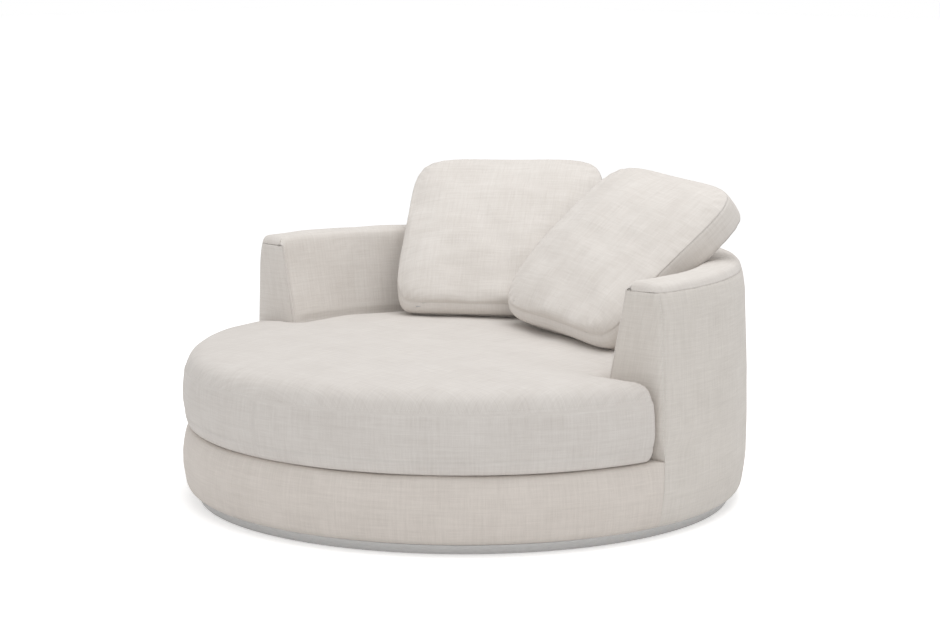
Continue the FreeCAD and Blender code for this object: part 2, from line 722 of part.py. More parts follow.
def make_seat_cushion():
    save("seat_cushion_cover", solid_of(cushion_form().cut(seat_core(0.0))))
    save("seat_cushion_core", seat_core(SOFT_GAP))

    tape_r = ZIP_R + SOFT_GAP
    tape = ring(tape_r + ZIP_TAPE_T, tape_r, over(ZIP_SEAT_H - ZIP_TAPE_W / 2), ZIP_TAPE_W)
    span = swept_wedge(90.0 - ZIP_SEAT_HALF_DEG, 2 * ZIP_SEAT_HALF_DEG)
    save("seat_zip_tape", tape.common(span))
    slider = zip_slider(1)
    slider.rotate(O, v(1, 0, 0), 90)
    slider.rotate(O, UP, 180)
    slider.translate(v(0, tape_r + ZIP_TAPE_T + SOFT_GAP, over(ZIP_SEAT_H)))
    save("seat_zip_slider", turned(slider, -ZIP_SEAT_HALF_DEG + SLIDER_START_DEG))


# Scatter cushions, made flat on their backs: X across, Y through and Z up

def corner_chords(x, z, first_deg):
    """A rounded corner of the outline as chords, round the centre given."""
    step = 90.0 / CORNER_CHORDS
    r = SCATTER_CORNER_R
    angles = [math.radians(first_deg + step * i) for i in range(CORNER_CHORDS + 1)]
    return [(x + r * math.cos(a), z + r * math.sin(a)) for a in angles]


def drawn_side(reach):
    """How far along and how far in the points of a side lie that draws in at its middle."""
    shares = [1 - 2.0 * i / SIDE_CHORDS for i in range(1, SIDE_CHORDS)]
    return [(reach * k, SCATTER_DRAW_IN * (1 - k * k)) for k in shares]


def scatter_corners():
    """The full outline as points. The bottom is flat for most of its width, for the zip."""
    half_w = SCATTER_WIDTH / 2
    half_h = SCATTER_HEIGHT / 2
    across = half_w - SCATTER_CORNER_R
    up = half_h - SCATTER_CORNER_R
    flat = half_h - SCATTER_DRAW_IN
    top = [(x, half_h - dip) for x, dip in drawn_side(across)]
    left = [(-half_w + dip, z) for z, dip in drawn_side(up)]
    right = [(-x, z) for x, z in reversed(left)]
    bottom = [(-ZIP_SCATTER_LENGTH / 2, -flat), (ZIP_SCATTER_LENGTH / 2, -flat)]
    points = corner_chords(across, up, 0) + top + corner_chords(-across, up, 90) + left
    return points + corner_chords(-across, -up, 180) + bottom + corner_chords(across, -up, 270) + right


def scatter_form(cloth):
    """The cushion's body: a straight gusset between two crowned faces."""
    edge = SCATTER_EDGE_T / 2
    rise = SCATTER_CROWN_T / 2 - edge
    half = SCATTER_WIDTH / 2
    shape = [(edge + rise * up, half - inset) for up, inset in SCATTER_CROWN]
    if cloth:
        shape = [(d - cloth, reach - 1.5 * cloth) for d, reach in shape]
    rows = [(-d, reach) for d, reach in reversed(shape)] + shape
    corners = scatter_corners()
    return stacked([[v(x * k / half, y, z * k / half) for x, z in corners] for y, k in rows])


def placed(shape, centre, yaw, lean, roll):
    """A cushion rolled in its own plane, leaned back, turned about Z and set in its place."""
    out = shape.copy()
    out.rotate(O, v(0, 1, 0), roll)
    out.rotate(O, v(1, 0, 0), -lean)
    out.rotate(O, UP, yaw)
    out.translate(centre)
    return out


def scatter_centre(from_rim, bearing_deg, rise):
    """A cushion's middle, from the top band's inner edge and the seat cushion's crown."""
    spoke = v(TOP_INNER_R - from_rim, 0, CUSHION_TOP_Z + rise)
    return FreeCAD.Rotation(UP, bearing_deg).multVec(spoke)


def zip_slider(direction):
    """A slider and its pull, lying on the plane Z = 0 with the pull towards +X or -X."""
    body = Part.makeBox(SLIDER_L, SLIDER_W, SLIDER_T, v(-SLIDER_L / 2, -SLIDER_W / 2, 0))
    start = 0.0 if direction > 0 else -PULL_L
    pull = Part.makeBox(PULL_L, PULL_W, PULL_T, v(start, -PULL_W / 2, SLIDER_T))
    return body.fuse(pull)


def make_scatter(side, *pose):
    cavity = scatter_form(SCATTER_CLOTH_T)
    cover = scatter_form(0.0).cut(cavity)
    insert = scatter_form(SCATTER_CLOTH_T + SOFT_GAP)
    save(side + "_scatter_cover", placed(cover, *pose))
    save(side + "_scatter_insert", placed(insert, *pose))

    foot = -(SCATTER_HEIGHT / 2 - SCATTER_DRAW_IN)
    half = ZIP_SCATTER_LENGTH / 2 - ZIP_END
    tape = Part.makeBox(2 * half, ZIP_TAPE_W, ZIP_TAPE_T, v(-half, -ZIP_TAPE_W / 2, foot - ZIP_TAPE_T))
    save(side + "_scatter_zip_tape", placed(tape, *pose))
    slider = zip_slider(-1)
    slider.rotate(O, v(1, 0, 0), 180)
    slider.translate(v(SLIDER_L / 2 - half, 0, foot - ZIP_TAPE_T - SOFT_GAP))
    save(side + "_scatter_zip_slider", placed(slider, *pose))


def build():
    os.makedirs("parts", exist_ok=True)
    make_plinth()
    make_swivel()
    make_base_board()
    make_back_frame()
    make_seat_frame()
    make_seat_platform()
    make_back_pads()
    make_base_front_pad()
    make_seat_cushion()
    left = scatter_centre(LEFT_FROM_RIM, LEFT_BEARING_DEG, LEFT_RISE)
    make_scatter("left", left, LEFT_YAW_DEG, LEFT_LEAN_DEG, LEFT_ROLL_DEG)
    right = scatter_centre(RIGHT_FROM_RIM, RIGHT_BEARING_DEG, RIGHT_RISE)
    make_scatter("right", right, RIGHT_YAW_DEG, RIGHT_LEAN_DEG, RIGHT_ROLL_DEG)


build()
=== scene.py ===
import math

import bmesh
import bpy
import numpy as np
from mathutils import Matrix, Vector


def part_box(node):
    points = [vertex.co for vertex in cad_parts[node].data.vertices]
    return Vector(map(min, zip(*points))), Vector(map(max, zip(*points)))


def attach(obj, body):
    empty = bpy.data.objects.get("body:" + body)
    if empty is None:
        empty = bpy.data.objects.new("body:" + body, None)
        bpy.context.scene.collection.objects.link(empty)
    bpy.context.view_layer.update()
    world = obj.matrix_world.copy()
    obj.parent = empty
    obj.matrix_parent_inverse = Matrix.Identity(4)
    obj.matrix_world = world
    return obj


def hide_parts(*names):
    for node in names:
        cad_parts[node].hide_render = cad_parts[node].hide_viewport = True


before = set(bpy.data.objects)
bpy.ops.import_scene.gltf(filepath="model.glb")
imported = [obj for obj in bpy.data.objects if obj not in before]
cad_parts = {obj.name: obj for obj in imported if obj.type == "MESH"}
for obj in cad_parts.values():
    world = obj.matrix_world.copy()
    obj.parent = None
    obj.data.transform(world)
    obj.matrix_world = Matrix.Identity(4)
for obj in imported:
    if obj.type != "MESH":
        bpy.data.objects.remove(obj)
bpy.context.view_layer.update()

SCENE = bpy.context.scene

# Upright profiles as radius and height, in metres
WALL = [(.684, .024), (.697, .0262), (.709, .034), (.7155, .047), (.720, .073), (.7235, .100),
        (.7258, .130), (.7260, .177), (.7260, .330), (.7240, .373), (.7200, .460),
        (.7165, .537), (.7140, .557), (.7105, .577), (.7060, .594)]
BAND = [(.7060, .594), (.7020, .603), (.6950, .6105), (.6820, .6145), (.6560, .6165),
        (.6320, .6155), (.6200, .6135)]
INNER = [(.6200, .6135), (.6135, .6110), (.6075, .6035), (.6035, .590), (.5990, .566),
         (.5750, .450), (.5465, .310), (.5235, .1915)]
BASE = [(.684, .024), (.697, .0262), (.709, .034), (.7155, .047), (.720, .073), (.7235, .100),
        (.7235, .118), (.7205, .141), (.7165, .160), (.7115, .176), (.7050, .186), (.6930, .1905),
        (.6400, .1905)]
INNER_LEAN = .2015      # how far the inner wall goes out for each metre of height
SEAM_Z = .594           # seam between the outside panel and the top band
BASE_TOP = .1905        # top of the padding on the base front
FACE_Y = -.0705         # the arm fronts' plane at FACE_X
FACE_X = .710
FACE_SLOPE = .05        # how far that plane comes forward towards the chair's middle
CORNER = .028           # rounding of the arm fronts' outer corners
CORNER_BLEND = .07      # height over which that rounding grows from the base
ROLL = .020             # rounding of the top band over the arm fronts
SEAM_DEG = -5.4         # bearing of the seam between the base front and the outside panel
HALF = 150              # columns in half of a panel that goes round the chair
TURN = 11               # column of the corner's arc at which the upright seam lies
THICK = .004            # cloth with the first of its padding
REACH = .72             # radius that turns an angle round the chair into a length
SEAT_GAP = .0012        # between the seat cushion and the chair


def spline(points, count):
    """Points spread evenly along a smooth line through the given ones."""
    p = np.array(points, float)
    t = np.concatenate([[0], np.cumsum(np.linalg.norm(np.diff(p, axis=0), axis=1))])
    m = np.zeros_like(p)
    d = np.diff(p, axis=0) / np.diff(t)[:, None]
    m[0], m[-1] = d[0], d[-1]
    for i in range(1, len(p) - 1):
        same = d[i - 1] * d[i] > 0
        m[i] = np.where(same, 2 * d[i - 1] * d[i] / np.where(same, d[i - 1] + d[i], 1), 0)
    x = np.linspace(0, t[-1], count)
    k = np.clip(np.searchsorted(t, x, "right") - 1, 0, len(p) - 2)
    h = (t[k + 1] - t[k])[:, None]
    u = ((x - t[k])[:, None]) / h
    return ((2 * u**3 - 3 * u**2 + 1) * p[k] + (u**3 - 2 * u**2 + u) * h * m[k]
            + (3 * u**2 - 2 * u**3) * p[k + 1] + (u**3 - u**2) * h * m[k + 1])


def noise3(p, scale, seed, octaves=2):
    """Smooth noise from a few sums of waves, the same on every run."""
    r = np.random.default_rng(seed)
    out = np.zeros(p.shape[:-1])
    for o in range(octaves):
        for _ in range(6):
            k = r.normal(size=3)
            k *= 2 * math.pi / scale * (2**o) / np.linalg.norm(k)
            out += np.sin(p @ k + r.uniform(0, 6.28)) / (6**.5 * 2**o)
    return out


def smooth(share):
    """Eases a share that goes from 0 to 1."""
    return share * share * (3 - 2 * share)


def ridge(away, width):
    """1 on a line, and less with the distance away from it."""
    return np.exp(-(away / width)**2)


def unit(v):
    return v / np.linalg.norm(v, axis=-1, keepdims=True)


def arc_length(p):
    return np.concatenate([[0], np.cumsum(np.linalg.norm(np.diff(p, axis=0), axis=1))])


def outward(plan):
    """Outward directions along a closed plan line."""
    tangent = np.roll(plan, -1, 0) - np.roll(plan, 1, 0)
    return unit(np.stack([tangent[:, 1], -tangent[:, 0]], -1))


def grid(name, pts, uv):
    """A closed smooth piece over rings of points, with a map of the weave in metres."""
    rings, count = pts.shape[:2]
    a, b = np.meshgrid(np.arange(rings - 1), np.arange(count), indexing="ij")
    a, b, after = a * count, b, (b + 1) % count
    quads = np.stack([a + b, a + count + b, a + count + after, a + after], -1).reshape(-1, 4)
    first = list(range(count))
    last = [(rings - 1) * count + j for j in first][::-1]
    me = bpy.data.meshes.new(name)
    me.from_pydata(pts.reshape(-1, 3).tolist(), [], quads.tolist() + [first, last])
    layer = me.uv_layers.new(name="Weave")
    idx = np.zeros(len(me.loops), int)
    me.loops.foreach_get("vertex_index", idx)
    flat = uv.reshape(-1, 2)
    layer.uv.foreach_set("vector", flat[idx].astype(np.float32).ravel())
    me.polygons.foreach_set("use_smooth", [True] * len(me.polygons))
    me.update()
    o = bpy.data.objects.new(name, me)
    SCENE.collection.objects.link(o)
    return o


def normals_out(o):
    """Joins points that fall together and turns every face outwards."""
    bm = bmesh.new()
    bm.from_mesh(o.data)
    bmesh.ops.remove_doubles(bm, verts=bm.verts, dist=1e-6)
    bmesh.ops.dissolve_degenerate(bm, edges=bm.edges, dist=1e-7)
    bmesh.ops.recalc_face_normals(bm, faces=bm.faces)
    bm.to_mesh(o.data)
    bm.free()


def wall_r(z):
    p = np.array(WALL)
    return np.interp(z, p[:, 1], p[:, 0])


def inner_r(z):
    foot_r, foot_z = INNER[-1]
    return foot_r + (z - foot_z) * INNER_LEAN


def face_y(x):
    """Y of the arm fronts' plane across the chair."""
    return FACE_Y + FACE_SLOPE * (np.abs(x) - FACE_X)


def face_meets(radius, gap=0):
    """X at which a round wall of this radius meets the arm fronts' plane, or a gap before it."""
    x = radius
    for _ in range(4):
        x = math.sqrt(radius**2 - (face_y(x) - gap)**2)
    return x


def corner_path(radius, rounding, count):
    """Right half of the outer plan line at one height, from the arm front's flat to the back."""
    t = math.atan(FACE_SLOPE)
    ex, ey = np.array([math.cos(t), math.sin(t)]), np.array([-math.sin(t), math.cos(t)])
    d = -(FACE_Y - FACE_SLOPE * FACE_X) * math.cos(t)
    c = max(rounding, .0005)
    cy = -d + c
    cx = math.sqrt((radius - c)**2 - cy**2)
    centre = ex * cx + ey * cy
    out = centre / np.linalg.norm(centre)
    a0 = math.atan2(-ey[1], -ey[0])
    a1 = math.atan2(out[1], out[0])
    arc = [centre + c * np.array([math.cos(a), math.sin(a)]) for a in np.linspace(a0, a1, 25)]
    rest = [radius * np.array([math.cos(a), math.sin(a)])
            for a in a1 + (math.pi / 2 - a1) * np.linspace(0, 1, count)[1:]**1.15]
    return np.array(arc), np.array(rest)


def mirror_x(p):
    q = p.copy()
    q[..., 0] *= -1
    return q


# Materials

def principled(name):
    mat = bpy.data.materials.new(name)
    mat.use_nodes = True
    nodes, links = mat.node_tree.nodes, mat.node_tree.links
    return mat, nodes, links, nodes["Principled BSDF"]


def tint(nodes, links, shader, tone, colours, spread):
    """Colours a surface by a tone, from the first colour to the second over a spread of it."""
    ramp = nodes.new("ShaderNodeValToRGB")
    for i in range(2):
        ramp.color_ramp.elements[i].position = spread[i]
        ramp.color_ramp.elements[i].color = (*colours[i], 1)
    links.new(tone, ramp.inputs[0])
    links.new(ramp.outputs[0], shader.inputs["Base Color"])


def emboss(nodes, links, shader, height, strength, distance):
    """Roughens a surface by a height, so deep in metres."""
    bump = nodes.new("ShaderNodeBump")
    bump.inputs["Strength"].default_value = strength
    bump.inputs["Distance"].default_value = distance
    links.new(height, bump.inputs["Height"])
    links.new(bump.outputs[0], shader.inputs["Normal"])


def weave(name, light, dark):
    """Slubby plain weave: fine threads both ways, with thick and thin stretches of yarn."""
    mat, nodes, links, shader = principled(name)
    uv = nodes.new("ShaderNodeUVMap")
    uv.uv_map = "Weave"

    def streaks(across, along, detail, start):
        """Noise with so many waves to the metre each way, drawn out along the yarn."""
        m = nodes.new("ShaderNodeMapping")
        m.inputs["Scale"].default_value = (across, along, 1)
        m.inputs["Location"].default_value = (start, start * 1.7, 0)
        links.new(uv.outputs[0], m.inputs[0])
        n = nodes.new("ShaderNodeTexNoise")
        n.inputs["Scale"].default_value = 1
        n.inputs["Detail"].default_value = detail
        links.new(m.outputs[0], n.inputs["Vector"])
        return n.outputs["Fac"]

    def math_node(op, a, b):
        n = nodes.new("ShaderNodeMath")
        n.operation = op
        for i, x in enumerate((a, b)):
            if isinstance(x, (int, float)):
                n.inputs[i].default_value = x
            else:
                links.new(x, n.inputs[i])
        return n.outputs[0]

    def blend(a, share_a, b, share_b):
        return math_node("ADD", math_node("MULTIPLY", a, share_a),
                         math_node("MULTIPLY", b, share_b))

    warp = streaks(620, 26, 2, 3.1)
    weft = streaks(22, 560, 2, 8.7)
    slub_v = streaks(170, 7, 3, 1.3)
    slub_h = streaks(6, 150, 3, 5.9)
    cloud = streaks(9, 9, 3, 2.2)
    fine = blend(warp, .5, weft, .5)
    slub = blend(slub_v, .5, slub_h, .5)
    tone = math_node("ADD", blend(fine, .42, slub, .40), math_node("MULTIPLY", cloud, .18))
    tint(nodes, links, shader, tone, (dark, light), (.36, .62))
    height = math_node("ADD", fine, math_node("MULTIPLY", slub, .8))
    emboss(nodes, links, shader, height, .55, .0011)
    rough = math_node("ADD", math_node("MULTIPLY", fine, .12), .84)
    links.new(rough, shader.inputs["Roughness"])
    shader.inputs["Sheen Weight"].default_value = .12
    shader.inputs["Sheen Roughness"].default_value = .6
    shader.inputs["Specular IOR Level"].default_value = .18
    return mat


def plain_noise(name, low, high, scale, stretch=(1, 1, 1), rough=.6, metallic=0.0, bump_by=.2,
                dist=.0005):
    """A surface whose colour and bump follow noise, drawn out one way where it has a grain."""
    mat, nodes, links, shader = principled(name)
    tc = nodes.new("ShaderNodeTexCoord")
    m = nodes.new("ShaderNodeMapping")
    m.inputs["Scale"].default_value = stretch
    n = nodes.new("ShaderNodeTexNoise")
    n.inputs["Scale"].default_value = scale
    n.inputs["Detail"].default_value = 4
    links.new(tc.outputs["Object"], m.inputs[0])
    links.new(m.outputs[0], n.inputs["Vector"])
    tint(nodes, links, shader, n.outputs["Fac"], (low, high), (.35, .65))
    emboss(nodes, links, shader, n.outputs["Fac"], bump_by, dist)
    shader.inputs["Roughness"].default_value = rough
    shader.inputs["Metallic"].default_value = metallic
    return mat


# The chair is one cream cloth throughout; the tints of the copies below paint the light and shade
# that each part shows
CLOTH = weave("cloth_weave", (.755, .718, .68), (.63, .587, .545))
# Darker copy of the same cream cloth, painting the shade on the seat cushion
SHADED_SEAT_CLOTH = weave("seat_weave_shaded", (.715, .68, .645), (.595, .555, .52))
# Darker copy of the same cream cloth, painting the shade on the outside panel and the right arm
# front
SHADED_OUTSIDE_CLOTH = weave("outside_weave_shaded", (.735, .695, .65), (.61, .57, .525))
# Warmer, darker copy of the same cream cloth, painting warm bounce light and shade on the base
# front
WARM_SHADED_BASE_CLOTH = weave("base_weave_warm_shaded", (.735, .68, .63), (.61, .56, .515))
THREAD = plain_noise("seam_thread", (.66, .64, .61), (.78, .76, .72), 400, rough=.8)
FELT = plain_noise("felt", (.045, .043, .04), (.075, .07, .068), 300, rough=.95, bump_by=.5)
DECK = plain_noise("platform_cloth", (.40, .38, .35), (.48, .46, .43), 500, rough=.92, bump_by=.4)
WEBBING = plain_noise("webbing_weave", (.10, .075, .045), (.19, .15, .10), 600, rough=.9,
                      bump_by=.6)
TAPE = plain_noise("zip_tape_weave", (.52, .50, .47), (.62, .60, .57), 700, rough=.9, bump_by=.5)
PLY = plain_noise("ply_grain", (.30, .20, .105), (.47, .34, .20), 14, (1, 1, 9), .62)
WOOD = plain_noise("timber_grain", (.22, .13, .065), (.36, .24, .13), 10, (9, 9, 1), .58)
BAND_STEEL = plain_noise("brushed_band", (.33, .325, .32), (.44, .435, .43), 60, (1, 1, 60), .34,
                         1, .12, .0002)
PLATE = plain_noise("powder_coat", (.012, .012, .013), (.028, .028, .03), 900, rough=.5, bump_by=.4)
BRIGHT = plain_noise("ground_steel", (.45, .45, .46), (.6, .6, .61), 300, (1, 1, 20), .28, 1, .1,
                     .0001)
NYLON = plain_noise("moulded_nylon", (.014, .014, .016), (.024, .024, .027), 500, rough=.42,
                    bump_by=.2)

NODE_LOOK = {
    "floor_glides": FELT, "plinth_board": WOOD, "plinth_band": BAND_STEEL,
    "lower_swivel_plate": PLATE, "lower_plate_screws": BRIGHT, "pivot_washer": BRIGHT,
    "pivot_nut": BRIGHT, "roller_cage": NYLON, "swivel_rollers": BRIGHT,
    "upper_swivel_plate": PLATE, "upper_plate_screws": BRIGHT, "base_board": PLY,
    "front_rail": PLY, "bottom_rail": PLY, "top_rail": PLY, "back_ribs": PLY,
    "back_outer_panel": PLY, "back_inner_panel": PLY, "left_arm_end_board": PLY,
    "right_arm_end_board": PLY, "seat_ring": PLY, "seat_joists_long": WOOD,
    "seat_joists_cross": WOOD, "webbing_long": WEBBING, "webbing_cross": WEBBING,
    "seat_zip_tape": TAPE, "left_scatter_zip_tape": TAPE, "right_scatter_zip_tape": TAPE,
    "seat_zip_slider": BRIGHT, "left_scatter_zip_slider": BRIGHT,
    "right_scatter_zip_slider": BRIGHT,
}
for node, look in NODE_LOOK.items():
    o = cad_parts[node]
    o.data.materials.clear()
    o.data.materials.append(look)


def dress(o, mat, body, nodes):
    """Gives a piece its cloth, its body and the solids that it stands for."""
    o.data.materials.append(mat)
    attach(o, body)
    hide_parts(*nodes)


STITCH_PITCH = .0062
STITCH_WIDTH = .0010
STITCH_PROUD = .0004
STITCH_SHAPE = ((0, .3, -.6), (.25, 1, .8), (.75, 1, .8), (1, .3, -.6))   # along, width, height


def stitches(name, line, normal, body):
    """A row of short raised stitches along a line, each lying in the cloth."""
    s = arc_length(line)
    verts, faces = [], []
    for i in range(int(s[-1] / STITCH_PITCH)):
        a, b = (i + .16) * STITCH_PITCH, (i + .84) * STITCH_PITCH
        pa = np.array([np.interp(a, s, line[:, k]) for k in range(3)])
        pb = np.array([np.interp(b, s, line[:, k]) for k in range(3)])
        n = unit(np.array([np.interp((a + b) / 2, s, normal[:, k]) for k in range(3)]))
        side = unit(np.cross(n, pb - pa))
        k = len(verts)
        for t, w, h in STITCH_SHAPE:
            for q in (-1, 0, 1):
                up = STITCH_PROUD * (h if q == 0 else h - .8)
                verts.append(pa + (pb - pa) * t + side * (q * w * STITCH_WIDTH / 2) + n * up)
        for r in range(3):
            for v in (k + r * 3, k + r * 3 + 1):
                faces.append([v, v + 1, v + 4, v + 3])
        for r in range(3):
            faces.append([k + r * 3, k + r * 3 + 3, k + r * 3 + 5, k + r * 3 + 2])
        faces.append([k, k + 2, k + 1])
        faces.append([k + 9, k + 10, k + 11])
    me = bpy.data.meshes.new(name)
    me.from_pydata([tuple(v) for v in verts], [], faces)
    me.update()
    o = bpy.data.objects.new(name, me)
    SCENE.collection.objects.link(o)
    normals_out(o)
    me.materials.append(THREAD)
    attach(o, body)


# Chair cover: outside panel, arm fronts, inside panel, top band and base front

def thick_sheet(name, pts, uv, inward):
    """A panel of cloth over its padding: the outer face, a face behind it, and closed edges."""
    back = pts + inward * THICK
    o = grid(name, np.concatenate([pts, back[:, ::-1]], 1), np.concatenate([uv, uv[:, ::-1]], 1))
    normals_out(o)
    return o


def corner_at(z):
    """Rounding of the arm front's outer corner at a height."""
    return CORNER * smooth(np.clip((z - BASE_TOP) / CORNER_BLEND, 0, 1))


def along_profile(profile):
    """Directions square to a profile, radius and height."""
    step = np.gradient(profile, axis=0)
    return unit(np.stack([step[:, 1], -step[:, 0]], -1))


def make_outside():
    pts = []
    for r, z in spline(WALL, 74):
        arc, rest = corner_path(r, corner_at(z), HALF)
        half = np.concatenate([arc[TURN:], rest])
        path = np.concatenate([half, mirror_x(half)[::-1][1:]])
        pts.append(np.column_stack([path, np.full(len(path), z)]))
    pts = np.array(pts)
    z = pts[..., 2]
    u = np.tile(arc_length(pts[40][:, :2]), (len(pts), 1))
    n = unit(np.stack([pts[..., 0], pts[..., 1], np.zeros_like(z)], -1))
    edge = np.minimum(u, u.max() - u)
    below = SEAM_Z - z
    pinch = .0012 * ridge(below, .004)
    fade = (np.clip((edge - .02) / .1, 0, 1) * np.clip((z - .06) / .1, 0, 1)
            * np.clip((.57 - z) / .08, 0, 1))
    soft = .0010 * noise3(pts, .35, 3) * fade
    pucker = .0007 * np.sin(u * 2 * math.pi / .021 + 3 * noise3(pts, .12, 9)) * ridge(below, .014)
    pts = pts + n * (soft + pucker * (below > .001) - pinch)[..., None]
    o = thick_sheet("outside_cover", pts, np.stack([u, z], -1), -n)
    dress(o, SHADED_OUTSIDE_CLOTH, "chair", ["outside_back_pad"])
    return pts, n


def make_front(side):
    """The arm's front: a flat that turns round the outer corner to the upright seam."""
    pts = []
    for z in np.linspace(BASE_TOP - .0005, SEAM_Z, 60):
        arc, _ = corner_path(float(wall_r(z)), corner_at(z), 10)
        x = face_meets(float(inner_r(z)))
        start = np.array([x, face_y(x)])
        flat = start + (arc[0] - start) * np.linspace(0, 1, 30)[:, None]**.9
        path = np.concatenate([flat, arc[1:TURN + 1]])
        pts.append(np.column_stack([path, np.full(len(path), z)]))
    pts = np.array(pts)
    u = np.array([arc_length(row[:, :2]) for row in pts])
    z = pts[..., 2]
    n = np.zeros_like(pts)
    d = np.gradient(pts, axis=1)
    n[..., 0], n[..., 1] = d[..., 1], -d[..., 0]
    n = unit(n)
    to_seam = u[:, -1:] - u
    edge = np.clip(np.minimum(u, to_seam * 3) / .03, 0, 1)
    swell = .0021 * edge**.5 * np.clip((SEAM_Z - z) / .03, 0, 1)**.5
    swell *= np.clip(to_seam / .012, 0, 1) * np.clip((z - BASE_TOP) / .02, 0, 1)
    bead = -.002 * ridge(u, .003) - .0014 * ridge(SEAM_Z - z, .003)
    pts = pts + n * (swell + bead + .0012 * noise3(pts, .16, 12) * edge)[..., None]
    if side == "left":
        pts, n = mirror_x(pts), mirror_x(n)
    o = thick_sheet(side + "_arm_front", pts, np.stack([u, z], -1), -n)
    # The right arm front takes the darker outside copy, which paints the shade on that side
    cloth = CLOTH if side == "left" else SHADED_OUTSIDE_CLOTH
    dress(o, cloth, "chair", [side + "_arm_front_pad"])
    return pts, n


def make_inside():
    pts = []
    for r, z in spline(INNER, 60):
        x = face_meets(r)
        a0 = math.atan2(face_y(x), x)
        ang = np.linspace(a0, math.pi - a0, 240)
        pts.append(np.column_stack([r * np.cos(ang), r * np.sin(ang), np.full(len(ang), z)]))
    pts = np.array(pts)
    z = pts[..., 2]
    n = unit(np.stack([-pts[..., 0], -pts[..., 1], np.full_like(z, .1)], -1))
    u = np.tile(arc_length(pts[20][:, :2]), (len(pts), 1))
    edge = np.minimum(u, u.max() - u)
    rim = np.clip(edge / .05, 0, 1)
    ends = np.sqrt(np.clip(1 - (1 - np.clip(edge / ROLL, 0, 1))**2, 0, 1))
    pts[..., 2] = np.where(z > SEAM_Z, SEAM_Z + (z - SEAM_Z) * ends, z)
    swell = .004 * np.sin(np.clip((z - .19) / .40, 0, 1) * math.pi) * rim
    pinch = .0015 * ridge(edge, .004) * np.clip((SEAM_Z - z) / .02, 0, 1)
    soft = .0014 * noise3(pts, .22, 21) * np.clip((SEAM_Z - z) / .05, 0, 1) * rim
    wave = np.sin(u * 2 * math.pi / .026 + 4 * noise3(pts, .15, 4))
    pucker = .0008 * wave * ridge(SEAM_Z - .020 - z, .014)
    beside_cushion = np.where(z < .40, 0.3, 1.0)
    pts = pts + n * ((swell + soft) * beside_cushion - pinch + pucker)[..., None]
    o = thick_sheet("inside_cover", pts, np.stack([u, z], -1), -n)
    dress(o, CLOTH, "chair", ["inside_back_pad"])
    return pts, n


def make_band():
    prof = spline(BAND, 44)
    across = (prof[:, 0] - prof[-1, 0]) / (prof[0, 0] - prof[-1, 0])
    rise = prof[:, 1] - SEAM_Z
    r_in = float(prof[-1, 0])
    arc, rest = corner_path(float(wall_r(SEAM_Z)), CORNER, HALF)
    out = np.concatenate([arc[::2], rest])
    x = face_meets(r_in)
    a0 = math.atan2(face_y(x), x)
    a_out = np.arctan2(out[:, 1], out[:, 0])
    a_in = a0 + (a_out - a_out[0]) * (math.pi / 2 - a0) / (math.pi / 2 - a_out[0])
    inn = r_in * np.stack([np.cos(a_in), np.sin(a_in)], -1)
    run = arc_length(out)
    pts, uv = [], []
    for i in range(len(out)):
        p = inn[i] + (out[i] - inn[i]) * across[:, None]
        depth = (p[:, 1] - face_y(p[:, 0])) * math.cos(math.atan(FACE_SLOPE))
        roll = np.sqrt(np.clip(1 - (1 - np.clip(depth / ROLL, 0, 1))**2, 0, 1))
        pts.append(np.column_stack([p, SEAM_Z + rise * roll]))
        uv.append(np.column_stack([np.full(len(prof), run[i]), across * .1]))
    pts, uv = np.array(pts), np.array(uv)
    pts = np.concatenate([pts, mirror_x(pts)[::-1][1:]])
    other = uv[::-1][1:].copy()
    other[..., 0] = 2 * run[-1] - other[..., 0]
    uv = np.concatenate([uv, other])
    side = along_profile(prof)
    rad = unit(pts[..., :2])
    up = np.broadcast_to(side[None, :, 1:], rad[..., :1].shape)
    n = np.concatenate([rad * side[None, :, :1], up], -1)
    n *= np.sign(n[..., 2].mean())
    edge = np.minimum(across, 1 - across)[None, :]
    wave = np.sin(uv[..., 0] * 2 * math.pi / .024 + 3 * noise3(pts, .1, 5))
    soft = .0010 * noise3(pts, .20, 8) * np.clip(edge / .1, 0, 1)
    pts = pts + n * (.0005 * wave * ridge(edge, .09) + soft)[..., None]
    o = thick_sheet("top_band_cover", pts, uv, -n * np.array([.3, .3, 1]))
    dress(o, CLOTH, "chair", ["top_band_pad"])


def make_base_front():
    prof = spline(BASE, 70)
    a0 = math.radians(-SEAM_DEG)
    ang = np.linspace(-a0 + .002, -math.pi + a0 - .002, 260)
    along = (ang[0] - ang) * REACH
    beside_seam = 1 - smooth(np.clip(np.minimum(along, along[-1] - along) / .045, 0, 1))
    full = np.array([wall_r(z) if z < .1904 else .726 for _, z in prof])
    share = np.clip((prof[:, 0] - .64) / .06, 0, 1)
    r = prof[:, :1] + (full - prof[:, 0])[:, None] * (beside_seam[None] * share[:, None])
    pts = np.stack([r * np.cos(ang), r * np.sin(ang), np.tile(prof[:, 1:], (1, len(ang)))], -1)
    side = along_profile(prof)
    rad = unit(pts[..., :2])
    up = np.broadcast_to(side[:, None, 1:], rad[..., :1].shape)
    n = np.concatenate([rad * side[:, None, :1], up], -1)
    u = np.tile(along, (len(prof), 1))
    s = np.tile(arc_length(prof)[:, None], (1, len(ang)))
    edge = np.minimum(u, u.max() - u)
    soft = (.0011 * noise3(pts, .30, 31) * np.clip(edge / .06, 0, 1)
            * np.clip((pts[..., 2] - .05) / .05, 0, 1))
    pts = pts + n * (soft * (s < s.max() - .05))[..., None]
    o = thick_sheet("base_front_cover", pts, np.stack([u, s], -1), -n)
    dress(o, WARM_SHADED_BASE_CLOTH, "chair", ["base_front_pad"])


out_pts, out_n = make_outside()
fronts = {side: make_front(side) for side in ("left", "right")}
in_pts, in_n = make_inside()
make_band()
make_base_front()

